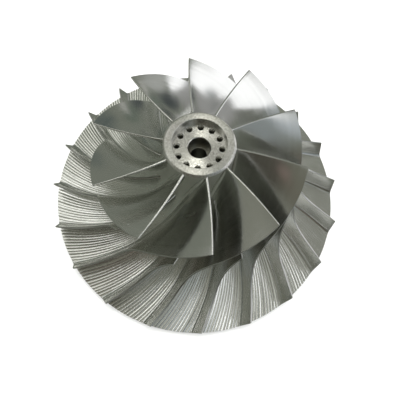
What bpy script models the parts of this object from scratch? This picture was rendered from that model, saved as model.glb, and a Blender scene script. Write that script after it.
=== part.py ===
"""Open centrifugal impeller with full blades, splitter blades and a recessed nose, in metres, +Z up."""
import math

import bmesh
import bpy
import numpy as np

# Turned body: the origin is the centre of the back boss, +Z runs along the shaft to the nose
RIM_RADIUS = 0.175
RIM_THICKNESS = 0.005
BOSS_RADIUS = 0.045
BOSS_STEP = 0.004
BACK_TAPER = 0.002
RIM_FRONT = BOSS_STEP + BACK_TAPER + RIM_THICKNESS
NOSE_RADIUS = 0.0345
NOSE_HEIGHT = RIM_FRONT + 0.1149
NOSE_RECESS_RADIUS = 0.0273
NOSE_RECESS_DEPTH = 0.0095
COUNTERBORE_RADIUS = 0.0118
COUNTERBORE_DEPTH = 0.0165
BORE_RADIUS = 0.0087
EDGE_BREAK = 0.0006

# Ring of tapped holes in the floor of the nose recess
HOLE_COUNT = 12
HOLE_CIRCLE_RADIUS = 0.0229
HOLE_RADIUS = 0.0026
HOLE_DEPTH = 0.012

# Flow path: each meridional curve is a cubic with a handle at the inlet and one at the exit
INLET_HUB_RADIUS = 0.0362
INLET_HUB_HEIGHT = RIM_FRONT + 0.1127
HUB_INLET_HANDLE = 0.0788
HUB_INLET_FLARE = 0.0
HUB_EXIT_HANDLE = 0.0963
HUB_EXIT_SLOPE = 3.2
INLET_TIP_RADIUS = 0.1086
INLET_TIP_HEIGHT = RIM_FRONT + 0.1110
TIP_INLET_HANDLE = 0.0683
TIP_INLET_FLARE = 3.4
TIP_EXIT_HANDLE = 0.0622
TIP_EXIT_SLOPE = 0.0
EXIT_WIDTH = 0.0181

# Blade wrap in degrees, clockwise seen from the nose: a steep inducer turn, then a steady sweep
BLADE_COUNT = 10
FIRST_TIP_ANGLE = 137.4
ROOT_LEAD_ANGLE = 3.9
TIP_WRAP = 59.9
TIP_INDUCER_TURN = 39.6
ROOT_WRAP = 66.5
ROOT_INDUCER_TURN = 31.0
INDUCER_SHARE = 0.32

# Blade sections
ROOT_THICKNESS = 0.0046
TIP_THICKNESS = 0.0022
EDGE_THICKNESS_SHARE = 0.65
EDGE_TAPER_SHARE = 0.12
FILLET_WIDTH = 0.0022
FILLET_HEIGHT = 0.0025
ROOT_GAP = 0.0003

# Resolution of the faceted solids
HUB_SEGMENTS = 96
HOLE_SEGMENTS = 16
FLOW_STEPS = 17
SPLITTER_FIRST_STEP = 4
SPLITTER_TIP_START = 0.264


def remove_everything():
    """Start from an empty scene."""
    for item in list(bpy.data.objects):
        bpy.data.objects.remove(item, do_unlink=True)


def metal(name, colour, roughness):
    """Bare aluminium with its own colour and polish."""
    material = bpy.data.materials.new(name)
    material.use_nodes = True
    shader = material.node_tree.nodes["Principled BSDF"]
    shader.inputs["Base Color"].default_value = (*colour, 1.0)
    shader.inputs["Roughness"].default_value = roughness
    shader.inputs["Metallic"].default_value = 1.0
    return material


def cubic(start, start_handle, end_handle, end, share):
    """Point of a cubic curve at each share of its parameter."""
    share = np.asarray(share, float)[:, None]
    rest = 1.0 - share
    corners = [np.array(point, float) for point in (start, start_handle, end_handle, end)]
    return (rest ** 3 * corners[0] + 3.0 * rest ** 2 * share * corners[1]
            + 3.0 * rest * share ** 2 * corners[2] + share ** 3 * corners[3])


def meridional_curve(start, flare, start_reach, end, slope, end_reach, share):
    """Radius and height along a flow line that leaves the inlet axially and meets the rim radially."""
    flare = math.radians(flare)
    slope = math.radians(slope)
    start_handle = (start[0] + start_reach * math.sin(flare), start[1] - start_reach * math.cos(flare))
    end_handle = (end[0] - end_reach * math.cos(slope), end[1] + end_reach * math.sin(slope))
    return cubic(start, start_handle, end_handle, end, share)


def hub_curve(share):
    """Floor of the flow path from the inlet to the rim."""
    return meridional_curve((INLET_HUB_RADIUS, INLET_HUB_HEIGHT), HUB_INLET_FLARE, HUB_INLET_HANDLE,
                            (RIM_RADIUS, RIM_FRONT), HUB_EXIT_SLOPE, HUB_EXIT_HANDLE, share)


def tip_curve(share):
    """Outer edge of the blades from the inlet to the rim."""
    return meridional_curve((INLET_TIP_RADIUS, INLET_TIP_HEIGHT), TIP_INLET_FLARE, TIP_INLET_HANDLE,
                            (RIM_RADIUS, RIM_FRONT + EXIT_WIDTH), TIP_EXIT_SLOPE, TIP_EXIT_HANDLE, share)


def travelled_share(curve, share):
    """Share of the curve's length that lies upstream of each parameter value."""
    dense_share = np.linspace(0.0, 1.0, 401)
    steps = np.linalg.norm(np.diff(curve(dense_share), axis=0), axis=1)
    length = np.concatenate(([0.0], np.cumsum(steps)))
    return np.interp(share, dense_share, length / length[-1])


def wrap_angle(curve, share, total, inducer_turn):
    """Degrees turned since the inlet: the inducer's turn dies out as a tanh, the rest is even."""
    travelled = travelled_share(curve, share)
    even_turn = total - inducer_turn * math.tanh(1.0 / INDUCER_SHARE)
    return inducer_turn * np.tanh(travelled / INDUCER_SHARE) + even_turn * travelled


def hub_profile():
    """Closed radius and height outline of the turned body, from the bore's back edge round to the boss."""
    recess_floor = NOSE_HEIGHT - NOSE_RECESS_DEPTH
    ledge = recess_floor - COUNTERBORE_DEPTH
    back = BOSS_STEP + BACK_TAPER
    outline = [
        (BORE_RADIUS, EDGE_BREAK),
        (BORE_RADIUS, ledge),
        (COUNTERBORE_RADIUS, ledge),
        (COUNTERBORE_RADIUS, recess_floor - EDGE_BREAK),
        (COUNTERBORE_RADIUS + EDGE_BREAK, recess_floor),
        (NOSE_RECESS_RADIUS, recess_floor),
        (NOSE_RECESS_RADIUS, NOSE_HEIGHT - EDGE_BREAK),
        (NOSE_RECESS_RADIUS + EDGE_BREAK, NOSE_HEIGHT),
        (NOSE_RADIUS - EDGE_BREAK, NOSE_HEIGHT),
        (NOSE_RADIUS, NOSE_HEIGHT - EDGE_BREAK),
    ]
    outline += [tuple(point) for point in hub_curve(np.linspace(0.0, 1.0, FLOW_STEPS + 1))]
    outline += [
        (RIM_RADIUS, back),
        (BOSS_RADIUS + EDGE_BREAK, BOSS_STEP),
        (BOSS_RADIUS, BOSS_STEP - EDGE_BREAK),
        (BOSS_RADIUS, EDGE_BREAK),
        (BOSS_RADIUS - EDGE_BREAK, 0.0),
        (BORE_RADIUS + EDGE_BREAK, 0.0),
    ]
    return outline


def place(name, mesh, material):
    """Give a finished mesh its object and its material."""
    item = bpy.data.objects.new(name, mesh)
    bpy.context.scene.collection.objects.link(item)
    mesh.materials.append(material)
    return item


def turned_body(name, outline, material):
    """Spin a closed outline once round the Z axis."""
    shape = bmesh.new()
    corners = [shape.verts.new((radius, 0.0, height)) for radius, height in outline]
    edges = [shape.edges.new((corner, corners[index - 1])) for index, corner in enumerate(corners)]
    bmesh.ops.spin(shape, geom=corners + edges, axis=(0.0, 0.0, 1.0), cent=(0.0, 0.0, 0.0),
                   angle=2.0 * math.pi, steps=HUB_SEGMENTS, use_merge=True)
    bmesh.ops.recalc_face_normals(shape, faces=shape.faces[:])
    mesh = bpy.data.meshes.new(name)
    shape.to_mesh(mesh)
    shape.free()
    mesh.shade_smooth()
    mesh.set_sharp_from_angle(angle=math.radians(30.0))
    return place(name, mesh, material)


def hole_cutter(material):
    """Twelve round pegs that sink the ring of holes into the recess floor."""
    shape = bmesh.new()
    recess_floor = NOSE_HEIGHT - NOSE_RECESS_DEPTH
    clearance = 0.5 * NOSE_RECESS_DEPTH
    for index in range(HOLE_COUNT):
        turn = 2.0 * math.pi * index / HOLE_COUNT
        peg = bmesh.ops.create_cone(shape, cap_ends=True, segments=HOLE_SEGMENTS, radius1=HOLE_RADIUS,
                                    radius2=HOLE_RADIUS, depth=HOLE_DEPTH + clearance)
        centre = (HOLE_CIRCLE_RADIUS * math.cos(turn), HOLE_CIRCLE_RADIUS * math.sin(turn),
                  recess_floor + 0.5 * (clearance - HOLE_DEPTH))
        bmesh.ops.translate(shape, verts=peg["verts"], vec=centre)
    mesh = bpy.data.meshes.new("hole_cutter")
    shape.to_mesh(mesh)
    shape.free()
    cutter = place("hole_cutter", mesh, material)
    cutter.hide_render = True
    cutter.display_type = "WIRE"
    return cutter


def make_hub(material):
    """Turned hub and back disc with the holes cut into the nose."""
    hub = turned_body("hub", hub_profile(), material)
    cut = hub.modifiers.new("nose_holes", "BOOLEAN")
    cut.operation = "DIFFERENCE"
    cut.solver = "EXACT"
    cut.object = hole_cutter(material)
    return hub


def in_space(radius, angle, height):
    """Cylindrical to Cartesian, angles in radians."""
    return np.stack((radius * np.cos(angle), radius * np.sin(angle), height), axis=-1)


def seated_on_hub(points):
    """Move points in their own meridional plane to the root gap above the faceted hub floor."""
    profile = hub_curve(np.linspace(0.0, 1.0, FLOW_STEPS + 1))
    run = np.diff(profile, axis=0)
    seat = np.stack((np.hypot(points[..., 0], points[..., 1]), points[..., 2]), axis=-1)
    along = np.einsum("...ik,ik->...i", seat[..., None, :] - profile[:-1], run) / (run ** 2).sum(axis=1)
    foot = profile[:-1] + np.clip(along, 0.0, 1.0)[..., None] * run
    nearest = np.linalg.norm(seat[..., None, :] - foot, axis=-1).argmin(axis=-1)
    foot = np.take_along_axis(foot, nearest[..., None, None], axis=-2)[..., 0, :]
    outward = np.stack((-run[:, 1], run[:, 0]), axis=-1) / np.linalg.norm(run, axis=1)[:, None]
    foot = foot + ROOT_GAP * outward[nearest]
    angle = np.arctan2(points[..., 1], points[..., 0])
    return in_space(foot[..., 0], angle, foot[..., 1])


def camber_grid(root_share, tip_share, turn):
    """Mid surface of a blade: straight lines from the hub floor to the outer edge, root row first."""
    root = hub_curve(root_share)
    tip = tip_curve(tip_share)
    root_angle = ROOT_LEAD_ANGLE - wrap_angle(hub_curve, root_share, ROOT_WRAP, ROOT_INDUCER_TURN)
    tip_angle = -wrap_angle(tip_curve, tip_share, TIP_WRAP, TIP_INDUCER_TURN)
    span = np.linalg.norm(tip - root, axis=1)
    rise = np.stack((0.0 * span, FILLET_HEIGHT / span, 0.0 * span + 0.5, 0.0 * span + 1.0), axis=1)
    meridional = root[:, None, :] + rise[..., None] * (tip - root)[:, None, :]
    angle = np.radians(turn + root_angle[:, None] + rise * (tip_angle - root_angle)[:, None])
    return in_space(meridional[..., 0], angle, meridional[..., 1]), rise


def half_thickness(rise):
    """Half the blade's thickness: thinner towards the outer edge and both ends, wider in the root fillet."""
    along = np.linspace(0.0, 1.0, len(rise))[:, None]
    ends = np.clip(np.minimum(along, 1.0 - along) / EDGE_TAPER_SHARE, 0.0, 1.0)
    taper = EDGE_THICKNESS_SHARE + (1.0 - EDGE_THICKNESS_SHARE) * np.sin(0.5 * math.pi * ends)
    half = 0.5 * (ROOT_THICKNESS + (TIP_THICKNESS - ROOT_THICKNESS) * rise) * taper
    half[:, 0] += FILLET_WIDTH
    return half


def turned_to_rim(points):
    """Points moved along their radius to the rim's cylinder."""
    radius = np.hypot(points[..., 0], points[..., 1])
    return points * np.stack((RIM_RADIUS / radius, RIM_RADIUS / radius, 1.0 + 0.0 * radius), axis=-1)


def unit(vectors):
    """Vectors scaled to length one."""
    return vectors / np.linalg.norm(vectors, axis=-1, keepdims=True)


def blade_mesh(name, root_share, tip_share, turn):
    """Closed blade: both faces, a nosed leading edge, a plain trailing edge, outer edge and root."""
    camber, rise = camber_grid(root_share, tip_share, turn)
    stream = unit(np.gradient(camber, axis=0))
    normal = unit(np.cross(stream, np.gradient(camber, axis=1)))
    half = half_thickness(rise)[..., None]
    left = camber + half * normal
    right = camber - half * normal
    nose = camber[0] - half[0] * stream[0]
    nose[0] = seated_on_hub(nose[0])
    keel = seated_on_hub(camber[:, 0])
    keel[-1] = turned_to_rim(keel[-1])
    for face in (left, right):
        face[:, 0] = seated_on_hub(face[:, 0])
        face[-1] = turned_to_rim(face[-1])
    return closed_blade(name, left, right, nose, keel)


def closed_blade(name, left, right, nose, keel):
    """Join the face grids, the nose row and the keel row into one closed mesh."""
    shape = bmesh.new()
    left_rows = [[shape.verts.new(point) for point in row] for row in left]
    right_rows = [[shape.verts.new(point) for point in row] for row in right]
    nose_row = [shape.verts.new(point) for point in nose]
    keel_row = [nose_row[0]] + [shape.verts.new(point) for point in keel[1:]]
    for rows in (left_rows, right_rows):
        for here, ahead in zip(rows[:-1], rows[1:]):
            for low, high, far_high, far_low in zip(here[:-1], here[1:], ahead[1:], ahead[:-1]):
                shape.faces.new((low, high, far_high, far_low))
    for rows in (left_rows, right_rows):
        for low, high, nose_high, nose_low in zip(rows[0][:-1], rows[0][1:], nose_row[1:], nose_row[:-1]):
            shape.faces.new((low, high, nose_high, nose_low))
        for index in range(len(rows) - 1):
            shape.faces.new((rows[index][0], rows[index + 1][0], keel_row[index + 1], keel_row[index]))
    for here in range(len(left_rows) - 1):
        shape.faces.new((left_rows[here][-1], left_rows[here + 1][-1],
                         right_rows[here + 1][-1], right_rows[here][-1]))
    shape.faces.new((nose_row[-1], left_rows[0][-1], right_rows[0][-1]))
    trailing = zip(left_rows[-1][:-1], left_rows[-1][1:], right_rows[-1][1:], right_rows[-1][:-1])
    for index, corners in enumerate(trailing):
        shape.faces.new(corners if index else corners + (keel_row[-1],))
    bmesh.ops.recalc_face_normals(shape, faces=shape.faces[:])
    mesh = bpy.data.meshes.new(name)
    shape.to_mesh(mesh)
    shape.free()
    mesh.shade_smooth()
    mesh.set_sharp_from_angle(angle=math.radians(35.0))
    return mesh


def make_blades(material):
    """Ten full blades, and ten splitters halfway between them that start further downstream."""
    pitch = 360.0 / BLADE_COUNT
    full_share = np.linspace(0.0, 1.0, FLOW_STEPS + 1)
    split_share = full_share[SPLITTER_FIRST_STEP:]
    split_tip_share = np.linspace(SPLITTER_TIP_START, 1.0, len(split_share))
    for index in range(BLADE_COUNT):
        turn = FIRST_TIP_ANGLE - pitch * index
        label = "main_blade_%02d" % (index + 1)
        place(label, blade_mesh(label, full_share, full_share, turn), material)
        label = "splitter_blade_%02d" % (index + 1)
        place(label, blade_mesh(label, split_share, split_tip_share, turn - 0.5 * pitch), material)


def main():
    remove_everything()
    make_hub(metal("turned_aluminium", (0.62, 0.61, 0.58), 0.34))
    make_blades(metal("milled_aluminium", (0.58, 0.59, 0.58), 0.18))


main()
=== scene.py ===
"""Looks of the milled impeller: grooved flow floor, filleted blades, turned nose and back."""
import math

import bmesh
import bpy
import numpy as np
from mathutils import Matrix, Vector


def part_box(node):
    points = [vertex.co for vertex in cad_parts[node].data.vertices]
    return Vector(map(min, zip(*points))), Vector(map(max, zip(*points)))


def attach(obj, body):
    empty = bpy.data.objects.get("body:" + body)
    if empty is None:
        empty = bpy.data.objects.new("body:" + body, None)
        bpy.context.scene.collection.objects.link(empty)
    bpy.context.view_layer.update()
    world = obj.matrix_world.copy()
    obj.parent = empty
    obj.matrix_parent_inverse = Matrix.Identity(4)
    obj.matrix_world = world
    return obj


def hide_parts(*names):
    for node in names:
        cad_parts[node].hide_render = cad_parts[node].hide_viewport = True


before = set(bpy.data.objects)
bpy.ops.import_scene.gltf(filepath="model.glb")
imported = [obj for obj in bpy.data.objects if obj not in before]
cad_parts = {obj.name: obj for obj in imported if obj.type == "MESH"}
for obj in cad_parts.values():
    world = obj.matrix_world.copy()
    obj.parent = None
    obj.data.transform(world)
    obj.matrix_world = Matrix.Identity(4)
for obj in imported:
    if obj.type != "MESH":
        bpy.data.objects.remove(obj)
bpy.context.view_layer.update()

# Turned body in metres, as the solids have it
HUB_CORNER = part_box("hub")[1]
RIM_RADIUS = HUB_CORNER[0]
NOSE_HEIGHT = HUB_CORNER[2]
RIM_THICKNESS = 0.005
BOSS_RADIUS = 0.045
BOSS_STEP = 0.004
BACK_TAPER = 0.002
RIM_BACK = BOSS_STEP + BACK_TAPER
RIM_FRONT = RIM_BACK + RIM_THICKNESS
NOSE_RADIUS = 0.0345
RECESS_RADIUS = 0.0273
RECESS_FLOOR = NOSE_HEIGHT - 0.0095
COUNTERBORE_RADIUS = 0.0115
LEDGE_HEIGHT = RECESS_FLOOR - 0.0165
BORE_RADIUS = 0.0087
EDGE_BREAK = 0.0006
RING_BREAK = 0.001

# Ring of holes in the recess floor
HOLE_COUNT = 12
HOLE_CIRCLE_RADIUS = 0.0229
HOLE_RADIUS = 0.0026
HOLE_DEPTH = 0.012
DRILL_POINT = 0.0015
THREAD_RADIUS = 0.003
THREAD_PITCH = 0.001
THREAD_MOUTH = 0.0033
THREAD_RUN_IN = 1.4

# Flow path and blade wrap, as the solids have them; a splitter stands half a pitch past its blade
INLET_HUB = (0.0362, RIM_FRONT + 0.1127)
HUB_HANDLES = (0.0788, 0.0963)
HUB_ANGLES = (0.0, 3.2)
INLET_TIP = (0.1086, RIM_FRONT + 0.1110)
TIP_HANDLES = (0.0683, 0.0622)
TIP_ANGLES = (3.4, 0.0)
EXIT_WIDTH = 0.0181
BLADE_COUNT = 10
PITCH = 360.0 / BLADE_COUNT
SPLITTER_OFFSET = 0.5
FIRST_TIP_ANGLE = 137.4
ROOT_LEAD_ANGLE = 3.9
TIP_WRAP = (59.9, 39.6)
ROOT_WRAP = (66.5, 31.0)
INDUCER_SHARE = 0.32
SPLITTER_START = (4.0 / 17.0, 0.264)

# Blade sections
ROOT_THICKNESS = 0.0046
TIP_THICKNESS = 0.0022
EDGE_THICKNESS_SHARE = 0.65
EDGE_TAPER_SHARE = 0.12
NOSE_LENGTH_RATIO = 1.1
NOSE_SHARE = 0.008
FILLET_RADIUS = 0.0034
NOSE_FILLET_SHARE = 0.1
FILLET_GROWTH_SHARE = 0.07
SKIRT_DEPTH = 0.0006
SEAT_BELOW_NOSE = 0.3 * EDGE_BREAK
EDGE_CHAMFER = 0.00025

# Cutter grooves on the flow floor; shares are of the flow length or of the pitch, and each
# unevenness is a share of the depth with its radians per groove and along the flow
GROOVES_PER_PITCH = 28
GROOVE_DEPTH = 0.00038
GROOVE_UNEVENNESS = ((0.22, 2.4, 0.0), (0.12, 5.1, 9.0))
GROOVE_START = 0.2
GROOVE_FULL = 0.5
GROOVE_CALM = 0.85
SMOOTH_BESIDE_BLADE = 0.035
SMOOTH_FADE = 0.015
RIM_SCALLOP = 0.00025
RIM_LIP = 0.0012
RIM_SEAM = 0.002

# Fineness of the curves and meshes
LENGTH_POINTS = 801
ROUND_SEGMENTS = 288
RING_STEP = 0.0015
PLAIN_STEP = 0.004
HOLE_SIDE_STEPS = 12
HOLE_RINGS = 9
HOLE_RING_CROWDING = 1.4
FLOOR_POINTS = 73
GROOVE_POINTS = 8
SEAT_POINTS = 121
BLADE_POINTS = 64
BLADE_POINT_CROWDING = 1.15
NOSE_ROWS = 11
FILLET_ROWS = 8
FACE_ROWS = 12
SEAM_REACH = 2e-6

# Degrees from which an edge between two faces is shown sharp
SHARP_ANGLE = 30.0
FLOOR_SHARP_ANGLE = 22.0

# Maps on the pieces: the floor's two rows past its edge, and how far up the map a blade's faces
# reach, with the turned edge above them
FLOOR_MAP_RIM = (1.01, 1.02)
BLADE_FACE_MAP = 0.96


def cubic(start, start_handle, end_handle, end, share):
    """Cubic curve: the four corners weighted by the Bernstein polynomials of each share."""
    share = np.asarray(share, float)[:, None]
    rest = 1.0 - share
    corners = [np.array(point, float) for point in (start, start_handle, end_handle, end)]
    return (rest ** 3 * corners[0] + 3.0 * rest ** 2 * share * corners[1]
            + 3.0 * rest * share ** 2 * corners[2] + share ** 3 * corners[3])


def flow_line(start, angles, handles, end, share):
    """Radius and height of a cubic: it leaves the inlet along the axis, plus a flare, and ends
    radial, plus a slope."""
    flare, slope = (math.radians(angle) for angle in angles)
    near, far = handles
    start_handle = (start[0] + near * math.sin(flare), start[1] - near * math.cos(flare))
    end_handle = (end[0] - far * math.cos(slope), end[1] + far * math.sin(slope))
    return cubic(start, start_handle, end_handle, end, share)


def hub_curve(share):
    """Flow floor from the inlet to the rim."""
    return flow_line(INLET_HUB, HUB_ANGLES, HUB_HANDLES, (RIM_RADIUS, RIM_FRONT), share)


def tip_curve(share):
    """Outer blade edge from the inlet to the rim."""
    end = (RIM_RADIUS, RIM_FRONT + EXIT_WIDTH)
    return flow_line(INLET_TIP, TIP_ANGLES, TIP_HANDLES, end, share)


def wrap_angle(curve, share, wrap):
    """Degrees turned since the inlet: a tanh of the share of the length travelled, plus an even
    sweep."""
    total, inducer_turn = wrap
    dense = np.linspace(0.0, 1.0, LENGTH_POINTS)
    steps = np.linalg.norm(np.diff(curve(dense), axis=0), axis=1)
    length = np.concatenate(([0.0], np.cumsum(steps)))
    travelled = np.interp(share, dense, length / length[-1])
    even_turn = total - inducer_turn * math.tanh(1.0 / INDUCER_SHARE)
    return inducer_turn * np.tanh(travelled / INDUCER_SHARE) + even_turn * travelled


def root_angle(share):
    """Angle of a blade's root from its leading tip."""
    return ROOT_LEAD_ANGLE - wrap_angle(hub_curve, share, ROOT_WRAP)


def in_space(radius, angle, height):
    """Cylindrical to Cartesian, angles in radians."""
    radius, angle, height = np.broadcast_arrays(radius, angle, height)
    return np.stack((radius * np.cos(angle), radius * np.sin(angle), height), axis=-1)


def unit(vectors):
    """Vectors scaled to length one."""
    return vectors / np.maximum(np.linalg.norm(vectors, axis=-1, keepdims=True), 1e-12)


def mesh_of(name, grids, uvs=None):
    """One mesh from point grids: each cell becomes a quad, with an optional map per point."""
    quads, offset = [], 0
    for grid in grids:
        rows, columns = grid.shape[:2]
        numbers = offset + np.arange(rows * columns).reshape(rows, columns)
        cells = (numbers[:-1, :-1], numbers[1:, :-1], numbers[1:, 1:], numbers[:-1, 1:])
        quads.append(np.stack(cells, axis=-1).reshape(-1, 4))
        offset += rows * columns
    corners = np.concatenate([grid.reshape(-1, 3) for grid in grids])
    quads = np.concatenate(quads)
    mesh = bpy.data.meshes.new(name)
    mesh.vertices.add(len(corners))
    mesh.vertices.foreach_set("co", corners.astype(np.float32).ravel())
    mesh.loops.add(quads.size)
    mesh.loops.foreach_set("vertex_index", quads.astype(np.int32).ravel())
    mesh.polygons.add(len(quads))
    mesh.polygons.foreach_set("loop_start", np.arange(0, quads.size, 4, dtype=np.int32))
    mesh.update(calc_edges=True)
    if uvs is not None:
        spots = np.concatenate([spot.reshape(-1, 2) for spot in uvs])
        layer = mesh.uv_layers.new(name="along_flow")
        layer.data.foreach_set("uv", spots[quads.ravel()].astype(np.float32).ravel())
    mesh.validate()
    return mesh


def finished_piece(name, mesh, material, replaced=(), closed=True, sharp=SHARP_ANGLE):
    """Close the seams, turn the faces of a closed skin outward, shade it smooth up to the sharp
    angle, and hang the piece on the part in place of the solids that it replaces."""
    shape = bmesh.new()
    shape.from_mesh(mesh)
    bmesh.ops.remove_doubles(shape, verts=shape.verts[:], dist=SEAM_REACH)
    if closed:
        bmesh.ops.recalc_face_normals(shape, faces=shape.faces[:])
    shape.to_mesh(mesh)
    shape.free()
    mesh.shade_smooth()
    mesh.set_sharp_from_angle(angle=math.radians(sharp))
    mesh.materials.append(material)
    piece = bpy.data.objects.new(name, mesh)
    bpy.context.scene.collection.objects.link(piece)
    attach(piece, "root")
    if replaced:
        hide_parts(*replaced)


def rounded(start, corner, end, size, steps=4):
    """Break of a corner: a quadratic curve tangent to both sides at the given size."""
    start, corner, end = (np.array(point, float) for point in (start, corner, end))
    first = corner + size * unit(start - corner)
    last = corner + size * unit(end - corner)
    share = np.linspace(0.0, 1.0, steps + 1)[:, None]
    return (1.0 - share) ** 2 * first + 2.0 * share * (1.0 - share) * corner + share ** 2 * last


def profile_with_breaks(points, sizes, step):
    """Radius and height outline: corners rounded by their sizes, straight runs divided by step."""
    line = [np.array([points[0]], float)]
    for index in range(1, len(points) - 1):
        if sizes[index]:
            around = points[index - 1:index + 2]
            line.append(rounded(*around, sizes[index]))
        else:
            line.append(np.array([points[index]], float))
    line.append(np.array([points[-1]], float))
    line = np.concatenate(line)
    out = [line[:1]]
    for here, ahead in zip(line[:-1], line[1:]):
        count = max(1, int(np.linalg.norm(ahead - here) / step))
        out.append(here + (ahead - here) * np.linspace(0.0, 1.0, count + 1)[1:, None])
    return np.concatenate(out)


def spun(outline):
    """Outline carried once round the Z axis: radius and height along it, angle across."""
    angle = np.linspace(0.0, 2.0 * math.pi, ROUND_SEGMENTS + 1)
    return in_space(outline[None, :, 0], angle[:, None], outline[None, :, 1])


def sector_outline():
    """Radius and angle round one hole's share of the recess floor, from the middle of its outer
    arc: half that arc, one side inward, the inner arc, the other side outward, the other half."""
    half = math.pi / HOLE_COUNT
    inner = COUNTERBORE_RADIUS + EDGE_BREAK
    steps = 2 * HOLE_SIDE_STEPS
    arc = np.linspace(-half, half, steps + 1)
    side = np.linspace(inner, RECESS_RADIUS, steps + 1)
    runs = (
        (np.full(HOLE_SIDE_STEPS, RECESS_RADIUS), arc[HOLE_SIDE_STEPS:-1]),
        (side[::-1][:-1], np.full(steps, half)),
        (np.full(steps, inner), arc[::-1][:-1]),
        (side[:-1], np.full(steps, -half)),
        (np.full(HOLE_SIDE_STEPS + 1, RECESS_RADIUS), arc[:HOLE_SIDE_STEPS + 1]),
    )
    return np.concatenate([np.stack(run, axis=1) for run in runs])


def drilled_sector():
    """One sector of the recess floor with its hole: rays from the hole's mouth to the sector's
    outline, and a wall that steps between thread crest and root down to the drill point."""
    edge = in_space(*sector_outline().T, 0.0)[:, :2]
    toward = np.arctan2(edge[:, 1], edge[:, 0] - HOLE_CIRCLE_RADIUS)
    mouth = in_space(THREAD_MOUTH, toward, 0.0)[:, :2] + (HOLE_CIRCLE_RADIUS, 0.0)
    share = np.linspace(0.0, 1.0, HOLE_RINGS)[None, :, None] ** HOLE_RING_CROWDING
    flat = mouth[:, None] * (1.0 - share) + edge[:, None] * share
    floor = np.concatenate((flat, np.full(flat.shape[:2] + (1,), RECESS_FLOOR)), axis=2)
    turns = np.arange(2 * int(HOLE_DEPTH / THREAD_PITCH) - 1)
    thread_depth = (turns + THREAD_RUN_IN) * 0.5 * THREAD_PITCH
    depth = np.concatenate(((0.0,), thread_depth, (HOLE_DEPTH, HOLE_DEPTH + DRILL_POINT)))
    crest = np.where(turns % 2 == 0, THREAD_RADIUS, HOLE_RADIUS)
    width = np.concatenate(((THREAD_MOUTH,), crest, (HOLE_RADIUS, 0.0)))
    wall = in_space(width[None, :], toward[:, None], RECESS_FLOOR - depth[None, :])
    wall = wall + (HOLE_CIRCLE_RADIUS, 0.0, 0.0)
    return [floor, wall]


def turned_about_axis(grid, angle):
    """Grid turned about the Z axis: multiplied by the matrix of that turn."""
    sine, cosine = math.sin(angle), math.cos(angle)
    turn = np.array(((cosine, -sine, 0.0), (sine, cosine, 0.0), (0.0, 0.0, 1.0)))
    return grid @ turn.T


def make_nose(material):
    """Nose ring, recess wall, drilled floor, counterbore and shaft bore as one turned skin: two
    outlines carried round the axis, and the drilled sector repeated for each hole."""
    ring = profile_with_breaks(
        [INLET_HUB, (NOSE_RADIUS, NOSE_HEIGHT), (RECESS_RADIUS, NOSE_HEIGHT),
         (RECESS_RADIUS, RECESS_FLOOR)],
        [0.0, RING_BREAK, EDGE_BREAK, 0.0], RING_STEP)
    bore = profile_with_breaks(
        [(COUNTERBORE_RADIUS + EDGE_BREAK, RECESS_FLOOR),
         (COUNTERBORE_RADIUS, RECESS_FLOOR - EDGE_BREAK),
         (COUNTERBORE_RADIUS, LEDGE_HEIGHT), (BORE_RADIUS, LEDGE_HEIGHT),
         (BORE_RADIUS, EDGE_BREAK), (BORE_RADIUS + EDGE_BREAK, 0.0)],
        [0.0, 0.0, 0.0, EDGE_BREAK * 0.5, 0.0, 0.0], PLAIN_STEP)
    grids = [spun(ring), spun(bore)]
    for index in range(HOLE_COUNT):
        angle = 2.0 * math.pi * index / HOLE_COUNT
        grids += [turned_about_axis(grid, angle) for grid in drilled_sector()]
    mesh = mesh_of("turned_nose", grids)
    finished_piece("turned_nose", mesh, material, ["hub"])


def make_back(material):
    """Back of the disc with its boss: an outline carried round the axis, up to the rim's seam."""
    outline = profile_with_breaks(
        [(BORE_RADIUS + EDGE_BREAK, 0.0), (BOSS_RADIUS, 0.0), (BOSS_RADIUS, BOSS_STEP),
         (RIM_RADIUS, RIM_BACK), (RIM_RADIUS, RIM_BACK + RIM_SEAM)],
        [0.0, EDGE_BREAK, EDGE_BREAK * 2.0, EDGE_BREAK, 0.0], PLAIN_STEP)
    mesh = mesh_of("turned_back", [spun(outline)])
    finished_piece("turned_back", mesh, material, closed=False)


def groove_height(across, along):
    """Scallops left by a ball cutter: a parabola of the distance from each valley's middle, uneven
    by two sines of the groove's number, faded out beside the blades and towards the inlet."""
    count = across * GROOVES_PER_PITCH
    number = np.floor(count)
    uneven = 1.0
    for part, turn, drift in GROOVE_UNEVENNESS:
        uneven = uneven + part * np.sin(turn * number + drift * along)
    scallop = 4.0 * GROOVE_DEPTH * uneven * (count - number - 0.5) ** 2
    to_blade = np.abs((across / SPLITTER_OFFSET + 0.5) % 1.0 - 0.5) * SPLITTER_OFFSET
    beside = np.clip((to_blade - SMOOTH_BESIDE_BLADE) / SMOOTH_FADE, 0.0, 1.0)
    started = np.clip((along - GROOVE_START) / (GROOVE_FULL - GROOVE_START), 0.0, 1.0)
    return scallop * beside * started


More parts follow.
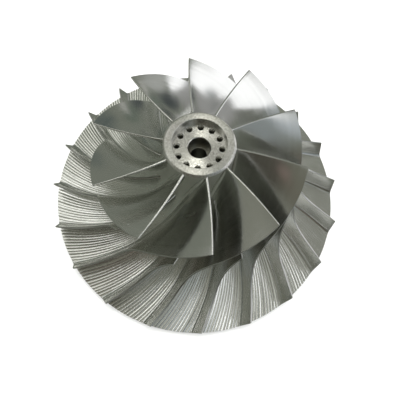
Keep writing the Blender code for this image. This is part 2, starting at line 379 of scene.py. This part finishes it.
def make_floor(material):
    """Ten grooved sectors: the floor curve carried round by the blade wrap and raised along its
    normal by the scallops, which are calmer by the squared cosine of the angle from +X. Two more
    rows turn the front edge down over the rim."""
    count = GROOVES_PER_PITCH * GROOVE_POINTS
    across = np.linspace(0.0, 1.0, count + 1)
    along = np.linspace(0.0, 1.0, FLOOR_POINTS)
    curve = hub_curve(along)
    run = unit(np.gradient(curve, axis=0))
    outward = np.stack((-run[:, 1], run[:, 0]), axis=1)
    full_height = groove_height(across[None, :], along[:, None])
    cusp_share = full_height[-1] / full_height[-1].max()
    sweep = np.append(root_angle(along), root_angle(along)[-1:].repeat(2))
    spots = np.stack(np.broadcast_arrays(across[None, :] * PITCH,
                                         np.append(along, FLOOR_MAP_RIM)[:, None]), axis=-1)
    for index in range(BLADE_COUNT):
        turn = FIRST_TIP_ANGLE - PITCH * index
        angle = np.radians(turn + sweep[:, None] + PITCH * (across[None, :] - 1.0))
        depth = 1.0 - GROOVE_CALM * max(0.0, math.cos(angle[-1].mean())) ** 2
        height = full_height * depth
        radius = curve[:, 0:1] + outward[:, 0:1] * height
        level = curve[:, 1:2] + outward[:, 1:2] * height
        radius[-1] = RIM_RADIUS - RIM_SCALLOP * depth * (1.0 - cusp_share)
        radius = np.vstack((radius, radius[-1:], radius[-1:]))
        seam = np.full((1, count + 1), RIM_BACK + RIM_SEAM)
        level = np.vstack((level, level[-1:] - RIM_LIP, seam))
        name = "grooved_floor_%02d" % (index + 1)
        mesh = mesh_of(name, [in_space(radius, angle, level)], [spots])
        finished_piece(name, mesh, material, closed=False,
                       sharp=FLOOR_SHARP_ANGLE)


def extended_floor():
    """Floor outline with the nose ring's edge in front of it, for seating fillets."""
    edge = (NOSE_RADIUS, NOSE_HEIGHT - SEAT_BELOW_NOSE)
    return np.vstack((edge, hub_curve(np.linspace(0.0, 1.0, SEAT_POINTS))))


def lifted_over_floor(points, height):
    """Points moved in their own plane through the axis: to the nearest place on the floor outline,
    then along its normal by the given height."""
    profile = extended_floor()
    run = np.diff(profile, axis=0)
    seat = np.stack((np.hypot(points[..., 0], points[..., 1]), points[..., 2]), axis=-1)
    offset = seat[..., None, :] - profile[:-1]
    along = np.einsum("...ik,ik->...i", offset, run) / (run ** 2).sum(axis=1)
    foot = profile[:-1] + np.clip(along, 0.0, 1.0)[..., None] * run
    nearest = np.linalg.norm(seat[..., None, :] - foot, axis=-1).argmin(axis=-1)
    foot = np.take_along_axis(foot, nearest[..., None, None], axis=-2)[..., 0, :]
    outward = unit(np.stack((-run[:, 1], run[:, 0]), axis=-1))[nearest]
    foot = foot + height[:, None] * outward
    return in_space(foot[..., 0], np.arctan2(points[..., 1], points[..., 0]), foot[..., 1])


def camber(root_share, tip_share, rise, turn):
    """Mid surface: straight lines in radius, height and angle from the floor to the outer edge."""
    root = hub_curve(root_share)
    tip = tip_curve(tip_share)
    low = root_angle(root_share)
    high = -wrap_angle(tip_curve, tip_share, TIP_WRAP)
    place = root[:, None] + rise[..., None] * (tip - root)[:, None]
    angle = np.radians(turn + low[:, None] + rise * (high - low)[:, None])
    return in_space(place[..., 0], angle, place[..., 1])


def span_rows(span):
    """Rows of a blade: a skirt below the floor, the fillet's quarter circle, the face, and the
    chamfered edge. Gives each row's share of the span, extra width, height over the floor, and how
    far it is seated on it."""
    arc = np.linspace(0.0, 0.5 * math.pi, FILLET_ROWS)
    face = np.zeros(FACE_ROWS)
    fillet_width = FILLET_RADIUS * (1.0 - np.sin(arc))
    extra = np.concatenate(([FILLET_RADIUS + SKIRT_DEPTH], fillet_width, face))
    extra[-1] = -EDGE_CHAMFER
    low = np.concatenate(([-SKIRT_DEPTH], FILLET_RADIUS * (1.0 - np.cos(arc))))
    seated = np.concatenate(([1.0], np.cos(arc) ** 0.5, face))
    start = FILLET_RADIUS / span
    end = 1.0 - EDGE_CHAMFER / span
    climb = start[:, None] + (end - start)[:, None] * np.linspace(0.0, 1.0, FACE_ROWS)[None, 1:]
    top = np.ones((len(span), 1))
    rise = np.concatenate((low[None, :] / span[:, None], climb, top), axis=1)
    return rise, extra, np.append(low, face), seated


def blade_caps(skin, count):
    """Grids that close a blade's skin: the trailing end, and bottom and top, each of them between
    the two faces and, at the nose, between the two halves of its round."""
    left = skin[:count]
    right = skin[-count:][::-1]
    middle = count + NOSE_ROWS // 2
    caps = [np.stack((left[0], right[0]), axis=0)]
    for row in (0, -1):
        caps.append(np.stack((left[:, row], right[:, row]), axis=1))
        one_half = skin[count - 1:middle + 1, row]
        other_half = skin[middle:count + NOSE_ROWS + 1, row][::-1]
        caps.append(np.stack((one_half, other_half), axis=1))
    return caps


def blade_grids(start, turn):
    """Blade skin: the mid surface set off by half the thickness to both sides, with half an
    ellipse round the nose. Each row runs from the rim along one face, round the nose and back
    along the other. The lowest rows are drawn on to the floor."""
    share = np.linspace(0.0, 1.0, BLADE_POINTS) ** BLADE_POINT_CROWDING
    root_share, tip_share = (first + NOSE_SHARE + (1.0 - first - NOSE_SHARE) * share
                             for first in start)
    span = np.linalg.norm(tip_curve(tip_share) - hub_curve(root_share), axis=1)
    rise, extra, height, seated = span_rows(span)
    middle = camber(root_share, tip_share, rise, turn)
    stream = unit(np.gradient(middle, axis=0))
    normal = unit(np.cross(stream, np.gradient(middle, axis=1)))
    ends = np.clip(np.minimum(share, 1.0 - share) / EDGE_TAPER_SHARE, 0.0, 1.0)[:, None]
    fullness = np.sin(0.5 * math.pi * ends)
    taper = EDGE_THICKNESS_SHARE + (1.0 - EDGE_THICKNESS_SHARE) * fullness
    face_rise = np.clip(rise, 0.0, 1.0)
    bare = 0.5 * (ROOT_THICKNESS + (TIP_THICKNESS - ROOT_THICKNESS) * face_rise) * taper
    growth = np.clip(share / FILLET_GROWTH_SHARE, 0.0, 1.0) ** 0.5
    grown = NOSE_FILLET_SHARE + (1.0 - NOSE_FILLET_SHARE) * growth
    extra = np.where(extra > 0.0, extra * grown[:, None], extra)
    half = (bare + extra)[..., None]
    reach = (NOSE_LENGTH_RATIO * bare + extra)[0, :, None]
    bend = np.linspace(0.5 * math.pi, -0.5 * math.pi, NOSE_ROWS + 2)[1:-1, None, None]
    nose = (middle[0] - reach * np.cos(bend) * stream[0]
            + half[0] * np.sin(bend) * normal[0])
    skin = np.concatenate(((middle + half * normal)[::-1], nose, middle - half * normal))
    resting = lifted_over_floor(skin, height)
    skin = skin + seated[None, :, None] * (resting - skin)
    radius = np.hypot(skin[..., 0], skin[..., 1])
    for row in (0, -1):
        skin[row, :, :2] *= (RIM_RADIUS / radius[row])[:, None]
    caps = blade_caps(skin, len(middle))
    face_uv = np.stack(np.broadcast_arrays(share[:, None], face_rise * BLADE_FACE_MAP), axis=-1)
    nose_uv = np.broadcast_to(face_uv[0], nose.shape[:2] + (2,))
    skin_uv = np.concatenate((face_uv[::-1], nose_uv, face_uv))
    return [skin] + caps, [skin_uv] + [np.ones(cap.shape[:2] + (2,)) for cap in caps]


def make_blades(material):
    """Ten full blades and ten splitters, each as its own closed skin."""
    for index in range(BLADE_COUNT):
        turn = FIRST_TIP_ANGLE - PITCH * index
        splitter_turn = turn - SPLITTER_OFFSET * PITCH
        for kind, start, angle in (("main_blade", (0.0, 0.0), turn),
                                   ("splitter_blade", SPLITTER_START, splitter_turn)):
            label = "%s_%02d" % (kind, index + 1)
            mesh = mesh_of("milled_" + label, *blade_grids(start, angle))
            finished_piece("milled_" + label, mesh, material, [label])


# Tones of the bare metal, and a painted shade tone for the bore and holes
FLOOR_METAL = (0.80, 0.805, 0.765)
BLADE_METAL = (0.64, 0.645, 0.615)
BLADE_EDGE_METAL = (0.44, 0.44, 0.42)
# Painted shade: darker tone laid on the bore, counterbore and holes below the recess floor, where
# shade falls
PAINTED_BORE_SHADE = (0.34, 0.335, 0.29)
# Tone of the bare turned metal, where no shade is painted; the bright end of its specks
BARE_TURNED_TONE = (0.76, 0.755, 0.72)

# Depths of the finishes' relief in metres
TOOL_MARK_DEPTH = 0.000006
SPECK_DEPTH = 0.000006
BLADE_WAVE_DEPTH = 0.0007
BLADE_STREAK_DEPTH = 0.00003
FLOOR_STREAK_DEPTH = 0.0001

# Roughness of the duller places
RING_EXTRA_ROUGHNESS = 0.09
BLADE_EDGE_ROUGHNESS = 0.40
INLET_EXTRA_ROUGHNESS = 0.22

# Where a finish or the painted shade of the bore changes: heights and a distance from the axis in
# metres, then map shares
# Heights over which the painted shade of the bore and holes gives way to bare metal, just below
# the recess floor
BORE_SHADE_FADE = (RECESS_FLOOR - 0.003, RECESS_FLOOR - 0.0008)
# Heights below which the painted bore shade is left off, towards the back of the disc
BACK_FADE = (0.03, 0.06)
RING_FADE = (RECESS_RADIUS - 0.0002, RECESS_RADIUS + 0.0002)
BLADE_EDGE_FADE = (0.97, 0.99)
INLET_FADE = (0.2, 0.55)


def plain_metal(name):
    """Bare metal to hang patterns on: the material, its node tree and its shader."""
    material = bpy.data.materials.new(name)
    material.use_nodes = True
    shader = material.node_tree.nodes["Principled BSDF"]
    shader.inputs["Metallic"].default_value = 1.0
    return material, material.node_tree, shader


def coordinate(tree, source, axis):
    """One coordinate, X, Y or Z, of the object or of the map."""
    place = tree.nodes.new("ShaderNodeTexCoord")
    split = tree.nodes.new("ShaderNodeSeparateXYZ")
    tree.links.new(place.outputs[source], split.inputs["Vector"])
    return split.outputs[axis]


def axis_distance(tree):
    """Distance from the shaft axis: the length of the object coordinates without their height."""
    place = tree.nodes.new("ShaderNodeTexCoord")
    flat = tree.nodes.new("ShaderNodeVectorMath")
    flat.operation = "MULTIPLY"
    flat.inputs[1].default_value = (1.0, 1.0, 0.0)
    reach = tree.nodes.new("ShaderNodeVectorMath")
    reach.operation = "LENGTH"
    tree.links.new(place.outputs["Object"], flat.inputs[0])
    tree.links.new(flat.outputs["Vector"], reach.inputs[0])
    return reach.outputs["Value"]


def stretched_noise(tree, source, cells, detail, distortion=0.0):
    """Noise of object or map coordinates, with so many cells per unit along each axis."""
    place = tree.nodes.new("ShaderNodeTexCoord")
    mapping = tree.nodes.new("ShaderNodeMapping")
    mapping.inputs["Scale"].default_value = cells
    noise = tree.nodes.new("ShaderNodeTexNoise")
    noise.inputs["Scale"].default_value = 1.0
    noise.inputs["Detail"].default_value = detail
    noise.inputs["Distortion"].default_value = distortion
    tree.links.new(place.outputs[source], mapping.inputs["Vector"])
    tree.links.new(mapping.outputs["Vector"], noise.inputs["Vector"])
    return noise.outputs["Fac"]


def ranged(tree, value, low, high, from_low=0.3, from_high=0.7):
    """Value spread over a new range, by default from the middle of a noise."""
    node = tree.nodes.new("ShaderNodeMapRange")
    for key, number in (("From Min", from_low), ("From Max", from_high),
                        ("To Min", low), ("To Max", high)):
        node.inputs[key].default_value = number
    tree.links.new(value, node.inputs["Value"])
    return node.outputs["Result"]


def combined(tree, operation, first, second=None):
    """Arithmetic of one or two values, each a number or a socket."""
    node = tree.nodes.new("ShaderNodeMath")
    node.operation = operation
    for socket, value in zip(node.inputs, (first, second)):
        if isinstance(value, (int, float)):
            socket.default_value = value
        elif value is not None:
            tree.links.new(value, socket)
    return node.outputs["Value"]


def layered(tree, below, share, above):
    """One colour laid over another by a share; each colour is a tone or a socket."""
    node = tree.nodes.new("ShaderNodeMix")
    node.data_type = "RGBA"
    tree.links.new(share, node.inputs["Factor"])
    for socket, value in ((node.inputs[6], below), (node.inputs[7], above)):
        if isinstance(value, tuple):
            socket.default_value = (*value, 1.0)
        else:
            tree.links.new(value, socket)
    return node.outputs[2]


def relief(tree, shader, layers):
    """Stack of bumps, each a height and a depth in metres."""
    below = None
    for height, depth in layers:
        bump = tree.nodes.new("ShaderNodeBump")
        bump.inputs["Distance"].default_value = depth
        tree.links.new(height, bump.inputs["Height"])
        if below is not None:
            tree.links.new(below, bump.inputs["Normal"])
        below = bump.outputs["Normal"]
    tree.links.new(below, shader.inputs["Normal"])


def tool_marks(tree):
    """Rings round the shaft axis: a wave of the distance from it."""
    place = tree.nodes.new("ShaderNodeTexCoord")
    marks = tree.nodes.new("ShaderNodeTexWave")
    marks.wave_type = "RINGS"
    marks.rings_direction = "Z"
    marks.inputs["Scale"].default_value = 420.0
    marks.inputs["Distortion"].default_value = 1.5
    marks.inputs["Detail Scale"].default_value = 3.0
    tree.links.new(place.outputs["Object"], marks.inputs["Vector"])
    return marks.outputs["Fac"]


def turned_metal():
    """Satin metal brushed round the shaft axis: fine tool marks and specks, faint blotches, a
    duller nose ring, and painted shade darkening the bore and holes below the recess floor."""
    material, tree, shader = plain_metal("turned_nose_aluminium")
    shader.inputs["Anisotropic"].default_value = 0.9
    shader.inputs["Anisotropic Rotation"].default_value = 0.25
    brushing = tree.nodes.new("ShaderNodeTangent")
    brushing.direction_type = "RADIAL"
    brushing.axis = "Z"
    tree.links.new(brushing.outputs["Tangent"], shader.inputs["Tangent"])
    specks = stretched_noise(tree, "Object", cells=(600.0, 600.0, 600.0), detail=2.0)
    relief(tree, shader, ((tool_marks(tree), TOOL_MARK_DEPTH), (specks, SPECK_DEPTH)))
    blotches = stretched_noise(tree, "Object", cells=(70.0, 70.0, 70.0), detail=4.0)
    rough = ranged(tree, blotches, low=0.24, high=0.27)
    ring = ranged(tree, axis_distance(tree), 0.0, RING_EXTRA_ROUGHNESS, *RING_FADE)
    tree.links.new(combined(tree, "ADD", rough, ring), shader.inputs["Roughness"])
    height = coordinate(tree, "Object", "Z")
    # Painted shade: the bore, counterbore and holes below the recess floor are darkened, except
    # near the back of the disc; the specks add a random grain of tone on top
    above_bore_shade = ranged(tree, height, 0.0, 1.0, *BORE_SHADE_FADE)
    back = ranged(tree, height, 1.0, 0.0, *BACK_FADE)
    unshaded = combined(tree, "MAXIMUM", above_bore_shade, back)
    grain_and_shade = combined(tree, "MULTIPLY", ranged(tree, specks, low=0.38, high=1.0), unshaded)
    tree.links.new(layered(tree, PAINTED_BORE_SHADE, grain_and_shade, BARE_TURNED_TONE), shader.inputs["Base Color"])
    return material


def blade_metal():
    """Bright milled metal: nearly a mirror, a little wavy, with faint streaks along the flow and a
    duller turned edge."""
    material, tree, shader = plain_metal("milled_blade_aluminium")
    haze = stretched_noise(tree, "Object", cells=(40.0, 40.0, 40.0), detail=2.0)
    streaks = stretched_noise(tree, "UV", cells=(1.5, 20.0, 1.0), detail=1.0, distortion=0.4)
    waves = stretched_noise(tree, "Object", cells=(30.0, 30.0, 30.0), detail=0.0)
    relief(tree, shader, ((waves, BLADE_WAVE_DEPTH), (streaks, BLADE_STREAK_DEPTH)))
    edge = ranged(tree, coordinate(tree, "UV", "Y"), 0.0, 1.0, *BLADE_EDGE_FADE)
    rough = combined(tree, "ADD", ranged(tree, haze, low=0.15, high=0.23),
                     ranged(tree, streaks, low=0.0, high=0.05))
    edge_rough = combined(tree, "MULTIPLY", edge, BLADE_EDGE_ROUGHNESS)
    rough = combined(tree, "MAXIMUM", rough, edge_rough)
    tree.links.new(rough, shader.inputs["Roughness"])
    tree.links.new(layered(tree, BLADE_METAL, edge, BLADE_EDGE_METAL),
                   shader.inputs["Base Color"])
    return material


def floor_metal():
    """Ball-milled metal: satin, with streaks along the cut, and duller towards the inlet."""
    material, tree, shader = plain_metal("grooved_floor_aluminium")
    shader.inputs["Base Color"].default_value = (*FLOOR_METAL, 1.0)
    haze = stretched_noise(tree, "Object", cells=(45.0, 45.0, 45.0), detail=2.0)
    streaks = stretched_noise(tree, "UV", cells=(1.2, 2.5, 1.0), detail=1.0, distortion=0.3)
    relief(tree, shader, ((streaks, FLOOR_STREAK_DEPTH),))
    rough = combined(tree, "ADD", ranged(tree, haze, low=0.15, high=0.22),
                     ranged(tree, streaks, low=0.0, high=0.05))
    inlet = ranged(tree, coordinate(tree, "UV", "Y"), INLET_EXTRA_ROUGHNESS, 0.0, *INLET_FADE)
    tree.links.new(combined(tree, "ADD", rough, inlet), shader.inputs["Roughness"])
    return material


# Camera: fitted to the rim, blade tips and nose of the photograph
EYE_DISTANCE = 2.4457 * RIM_RADIUS
EYE_ELEVATION = 67.75
EYE_PAN = -0.78
EYE_TILT = -2.11
EYE_ROLL = -4.25
FOCAL_PIXELS = 329.9
IMAGE_PIXELS = 400.0
SENSOR_WIDTH = 36.0


def turned_vector(vector, axis, degrees):
    """Vector turned about an axis."""
    return Matrix.Rotation(math.radians(degrees), 3, axis) @ vector


def make_camera():
    """Camera at the photograph's angle, aimed by a small pan, tilt and roll."""
    lift = math.radians(EYE_ELEVATION)
    forward = Vector((0.0, math.cos(lift), -math.sin(lift)))
    right = Vector((1.0, 0.0, 0.0))
    up = right.cross(forward)
    right, forward = (turned_vector(v, up, EYE_PAN) for v in (right, forward))
    forward, up = (turned_vector(v, right, EYE_TILT) for v in (forward, up))
    right, up = (turned_vector(v, forward, EYE_ROLL) for v in (right, up))
    data = bpy.data.cameras.new("camera")
    data.sensor_width = SENSOR_WIDTH
    data.lens = FOCAL_PIXELS / IMAGE_PIXELS * SENSOR_WIDTH
    data.clip_start = 0.01
    data.clip_end = 50.0
    camera = bpy.data.objects.new("camera", data)
    place = Vector((0.0, -EYE_DISTANCE * math.cos(lift),
                    RIM_FRONT + EYE_DISTANCE * math.sin(lift)))
    aim = Matrix((right, up, -forward)).transposed().to_4x4()
    camera.matrix_world = Matrix.Translation(place) @ aim
    bpy.context.scene.collection.objects.link(camera)
    bpy.context.scene.camera = camera


# Surroundings that the metal mirrors, in degrees round from +X and up from the floor
WALL_TONE = (0.225, 0.24, 0.205)
CEILING_TONE = (0.62, 0.625, 0.59)
CEILING_FADE = (0.99, 0.85)
BACKDROP_TONE = (0.84, 0.84, 0.83)

# Cosines from a panel's middle: where it fades out at its sides, and the least to divide by
AHEAD_FADE = (0.2, 0.0)
LEAST_AHEAD = 0.01

# Soft round spots: azimuth, elevation, where the fade starts and ends, tone
SKY_SPOTS = (
    (175.0, 66.0, 6.0, 18.0, (0.28, 0.28, 0.25)),
    (-155.0, 34.0, 8.0, 34.0, (0.27, 0.275, 0.235)),
    (-105.0, 58.0, 14.0, 26.0, (0.18, 0.18, 0.145)),
    (-25.0, 50.0, 6.0, 24.0, (0.62, 0.68, 0.76)),
    (-50.0, 18.0, 10.0, 40.0, (0.31, 0.34, 0.35)),
    (-100.0, 24.0, 18.0, 36.0, (0.085, 0.08, 0.066)),
    (-112.0, 50.0, 1.0, 8.0, (0.14, 0.125, 0.10)),
    (-99.0, 48.0, 2.0, 9.0, (0.25, 0.19, 0.17)),
    (16.0, -6.0, 20.0, 36.0, (0.40, 0.40, 0.40)),
    (-20.0, 49.0, 3.0, 11.0, (0.92, 0.94, 0.96)),
    (-66.0, -6.0, 10.0, 30.0, (0.15, 0.15, 0.13)),
    (24.0, 64.0, 12.0, 28.0, (0.23, 0.235, 0.21)),
    (92.0, 60.0, 6.0, 18.0, (0.52, 0.52, 0.48)),
    (64.0, 11.0, 5.0, 13.0, (0.52, 0.53, 0.52)),
    (58.0, -11.0, 7.0, 15.0, (0.07, 0.08, 0.085)),
    (77.0, -12.0, 3.0, 12.0, (0.15, 0.18, 0.15)),
    (98.0, 4.0, 4.0, 13.0, (0.11, 0.135, 0.13)),
    (0.0, -17.0, 1.0, 4.5, (0.95, 0.95, 0.94)),
)

# Soft panels: azimuth, elevation, half width, half height, twist, share of the edge that is
# blurred, tone; the strip at 76 degrees lights the nose, and three panels make the broad window
SKY_PANELS = (
    (128.0, 42.0, 10.0, 8.0, 0.0, 0.3, (1.4, 1.4, 1.35)),
    (132.0, 60.0, 7.0, 6.0, 0.0, 0.4, (1.1, 1.1, 1.0)),
    (167.0, 54.0, 9.0, 5.5, 0.0, 0.4, (2.1, 2.1, 2.1)),
    (97.0, 76.0, 5.5, 10.0, 0.0, 0.3, (4.0, 4.0, 3.7)),
    (-4.0, 28.0, 17.0, 18.5, 0.0, 0.1, (1.62, 1.62, 1.68)),
    (14.0, 27.0, 14.0, 14.0, 0.0, 0.12, (1.62, 1.62, 1.68)),
    (37.0, 18.0, 13.0, 15.0, 0.0, 0.15, (1.6, 1.6, 1.66)),
    (76.0, 3.0, 1.5, 9.0, 0.0, 0.6, (0.66, 0.65, 0.63)),
    (24.0, 8.0, 6.0, 3.5, 0.0, 0.6, (0.44, 0.48, 0.5)),
    (14.0, -5.0, 3.0, 7.0, 30.0, 0.6, (0.3, 0.31, 0.31)),
)

# Studio
STUDIO_FLOOR_HALF = 3.0
STUDIO_FLOOR_TONE = (0.9, 0.9, 0.9)
STUDIO_FLOOR_ROUGHNESS = 0.9
LAMP_HEIGHT = 2.2
LAMP_SIZE = 2.4
LAMP_POWER = 60.0


def direction(azimuth, elevation):
    """Unit vector towards an azimuth and elevation in degrees."""
    azimuth, elevation = math.radians(azimuth), math.radians(elevation)
    return Vector((math.cos(elevation) * math.cos(azimuth),
                   math.cos(elevation) * math.sin(azimuth), math.sin(elevation)))


def sky_toward(tree, sight, axis):
    """Cosine of the angle between the line of sight and an axis."""
    node = tree.nodes.new("ShaderNodeVectorMath")
    node.operation = "DOT_PRODUCT"
    tree.links.new(sight, node.inputs[0])
    node.inputs[1].default_value = axis
    return node.outputs["Value"]


def sky_edge(tree, value, full, none):
    """Smooth step from one at full to zero at none."""
    node = tree.nodes.new("ShaderNodeMapRange")
    node.interpolation_type = "SMOOTHSTEP"
    tree.links.new(value, node.inputs["Value"])
    node.inputs["From Min"].default_value = none
    node.inputs["From Max"].default_value = full
    return node.outputs["Result"]


def soft_panel(tree, sight, azimuth, elevation, half_width, half_height, twist, blur):
    """Mask of a far rectangular panel: the sight's slopes across and up from its middle, each
    with a soft edge, in front only."""
    middle = direction(azimuth, elevation)
    across = turned_vector(direction(azimuth + 90.0, 0.0), middle, twist)
    ahead = sky_toward(tree, sight, middle)
    depth = combined(tree, "MAXIMUM", ahead, LEAST_AHEAD)
    mask = sky_edge(tree, ahead, *AHEAD_FADE)
    for axis, half in ((across, half_width), (middle.cross(across), half_height)):
        slope = combined(tree, "DIVIDE", sky_toward(tree, sight, axis), depth)
        reach = math.tan(math.radians(half))
        edge = sky_edge(tree, combined(tree, "ABSOLUTE", slope),
                        reach * (1.0 - blur), reach * (1.0 + blur))
        mask = combined(tree, "MULTIPLY", mask, edge)
    return mask


def soft_spot(tree, sight, azimuth, elevation, inner, outer):
    """Mask of a far round area that fades between two angles from its middle."""
    toward = sky_toward(tree, sight, direction(azimuth, elevation))
    return sky_edge(tree, toward, math.cos(math.radians(inner)), math.cos(math.radians(outer)))


def make_sky():
    """Surroundings that the metal mirrors: walls, a ceiling, a broad window and a dark front. Seen
    directly, there is only a plain pale backdrop."""
    world = bpy.data.worlds.new("studio_sky")
    world.use_nodes = True
    tree = world.node_tree
    sight = tree.nodes.new("ShaderNodeTexCoord").outputs["Generated"]
    overhead = sky_edge(tree, sky_toward(tree, sight, Vector((0.0, 0.0, 1.0))), *CEILING_FADE)
    colour = layered(tree, WALL_TONE, overhead, CEILING_TONE)
    for masked, layers in ((soft_spot, SKY_SPOTS), (soft_panel, SKY_PANELS)):
        for *shape, tone in layers:
            colour = layered(tree, colour, masked(tree, sight, *shape), tone)
    seen_direct = tree.nodes.new("ShaderNodeLightPath").outputs["Is Camera Ray"]
    colour = layered(tree, colour, seen_direct, BACKDROP_TONE)
    tree.links.new(colour, tree.nodes["Background"].inputs["Color"])
    bpy.context.scene.world = world


def make_floor_lamp():
    """Overhead lamp for the floor alone: bare metal doesn't mirror it."""
    data = bpy.data.lights.new("floor_lamp", "AREA")
    data.shape = "DISK"
    data.size = LAMP_SIZE
    data.energy = LAMP_POWER
    lamp = bpy.data.objects.new("floor_lamp", data)
    lamp.location = (0.0, 0.0, LAMP_HEIGHT)
    lamp.visible_glossy = False
    bpy.context.scene.collection.objects.link(lamp)


def make_studio():
    """Pale floor that the metal doesn't mirror, the surroundings and the floor's own lamp."""
    ends = np.array((-STUDIO_FLOOR_HALF, STUDIO_FLOOR_HALF))
    corners = np.stack(np.broadcast_arrays(ends[:, None], ends[None, :], 0.0), axis=-1)
    floor_mesh = mesh_of("studio_floor", [corners])
    material = bpy.data.materials.new("studio_floor")
    material.use_nodes = True
    shader = material.node_tree.nodes["Principled BSDF"]
    shader.inputs["Base Color"].default_value = (*STUDIO_FLOOR_TONE, 1.0)
    shader.inputs["Roughness"].default_value = STUDIO_FLOOR_ROUGHNESS
    floor_mesh.materials.append(material)
    floor = bpy.data.objects.new("studio_floor", floor_mesh)
    bpy.context.scene.collection.objects.link(floor)
    floor.visible_glossy = False
    make_sky()
    make_floor_lamp()
    bpy.context.scene.view_settings.view_transform = "Standard"


def main():
    """Every piece of the impeller, then the camera and the studio."""
    turned = turned_metal()
    make_nose(turned)
    make_back(turned)
    make_floor(floor_metal())
    make_blades(blade_metal())
    make_camera()
    make_studio()


main()
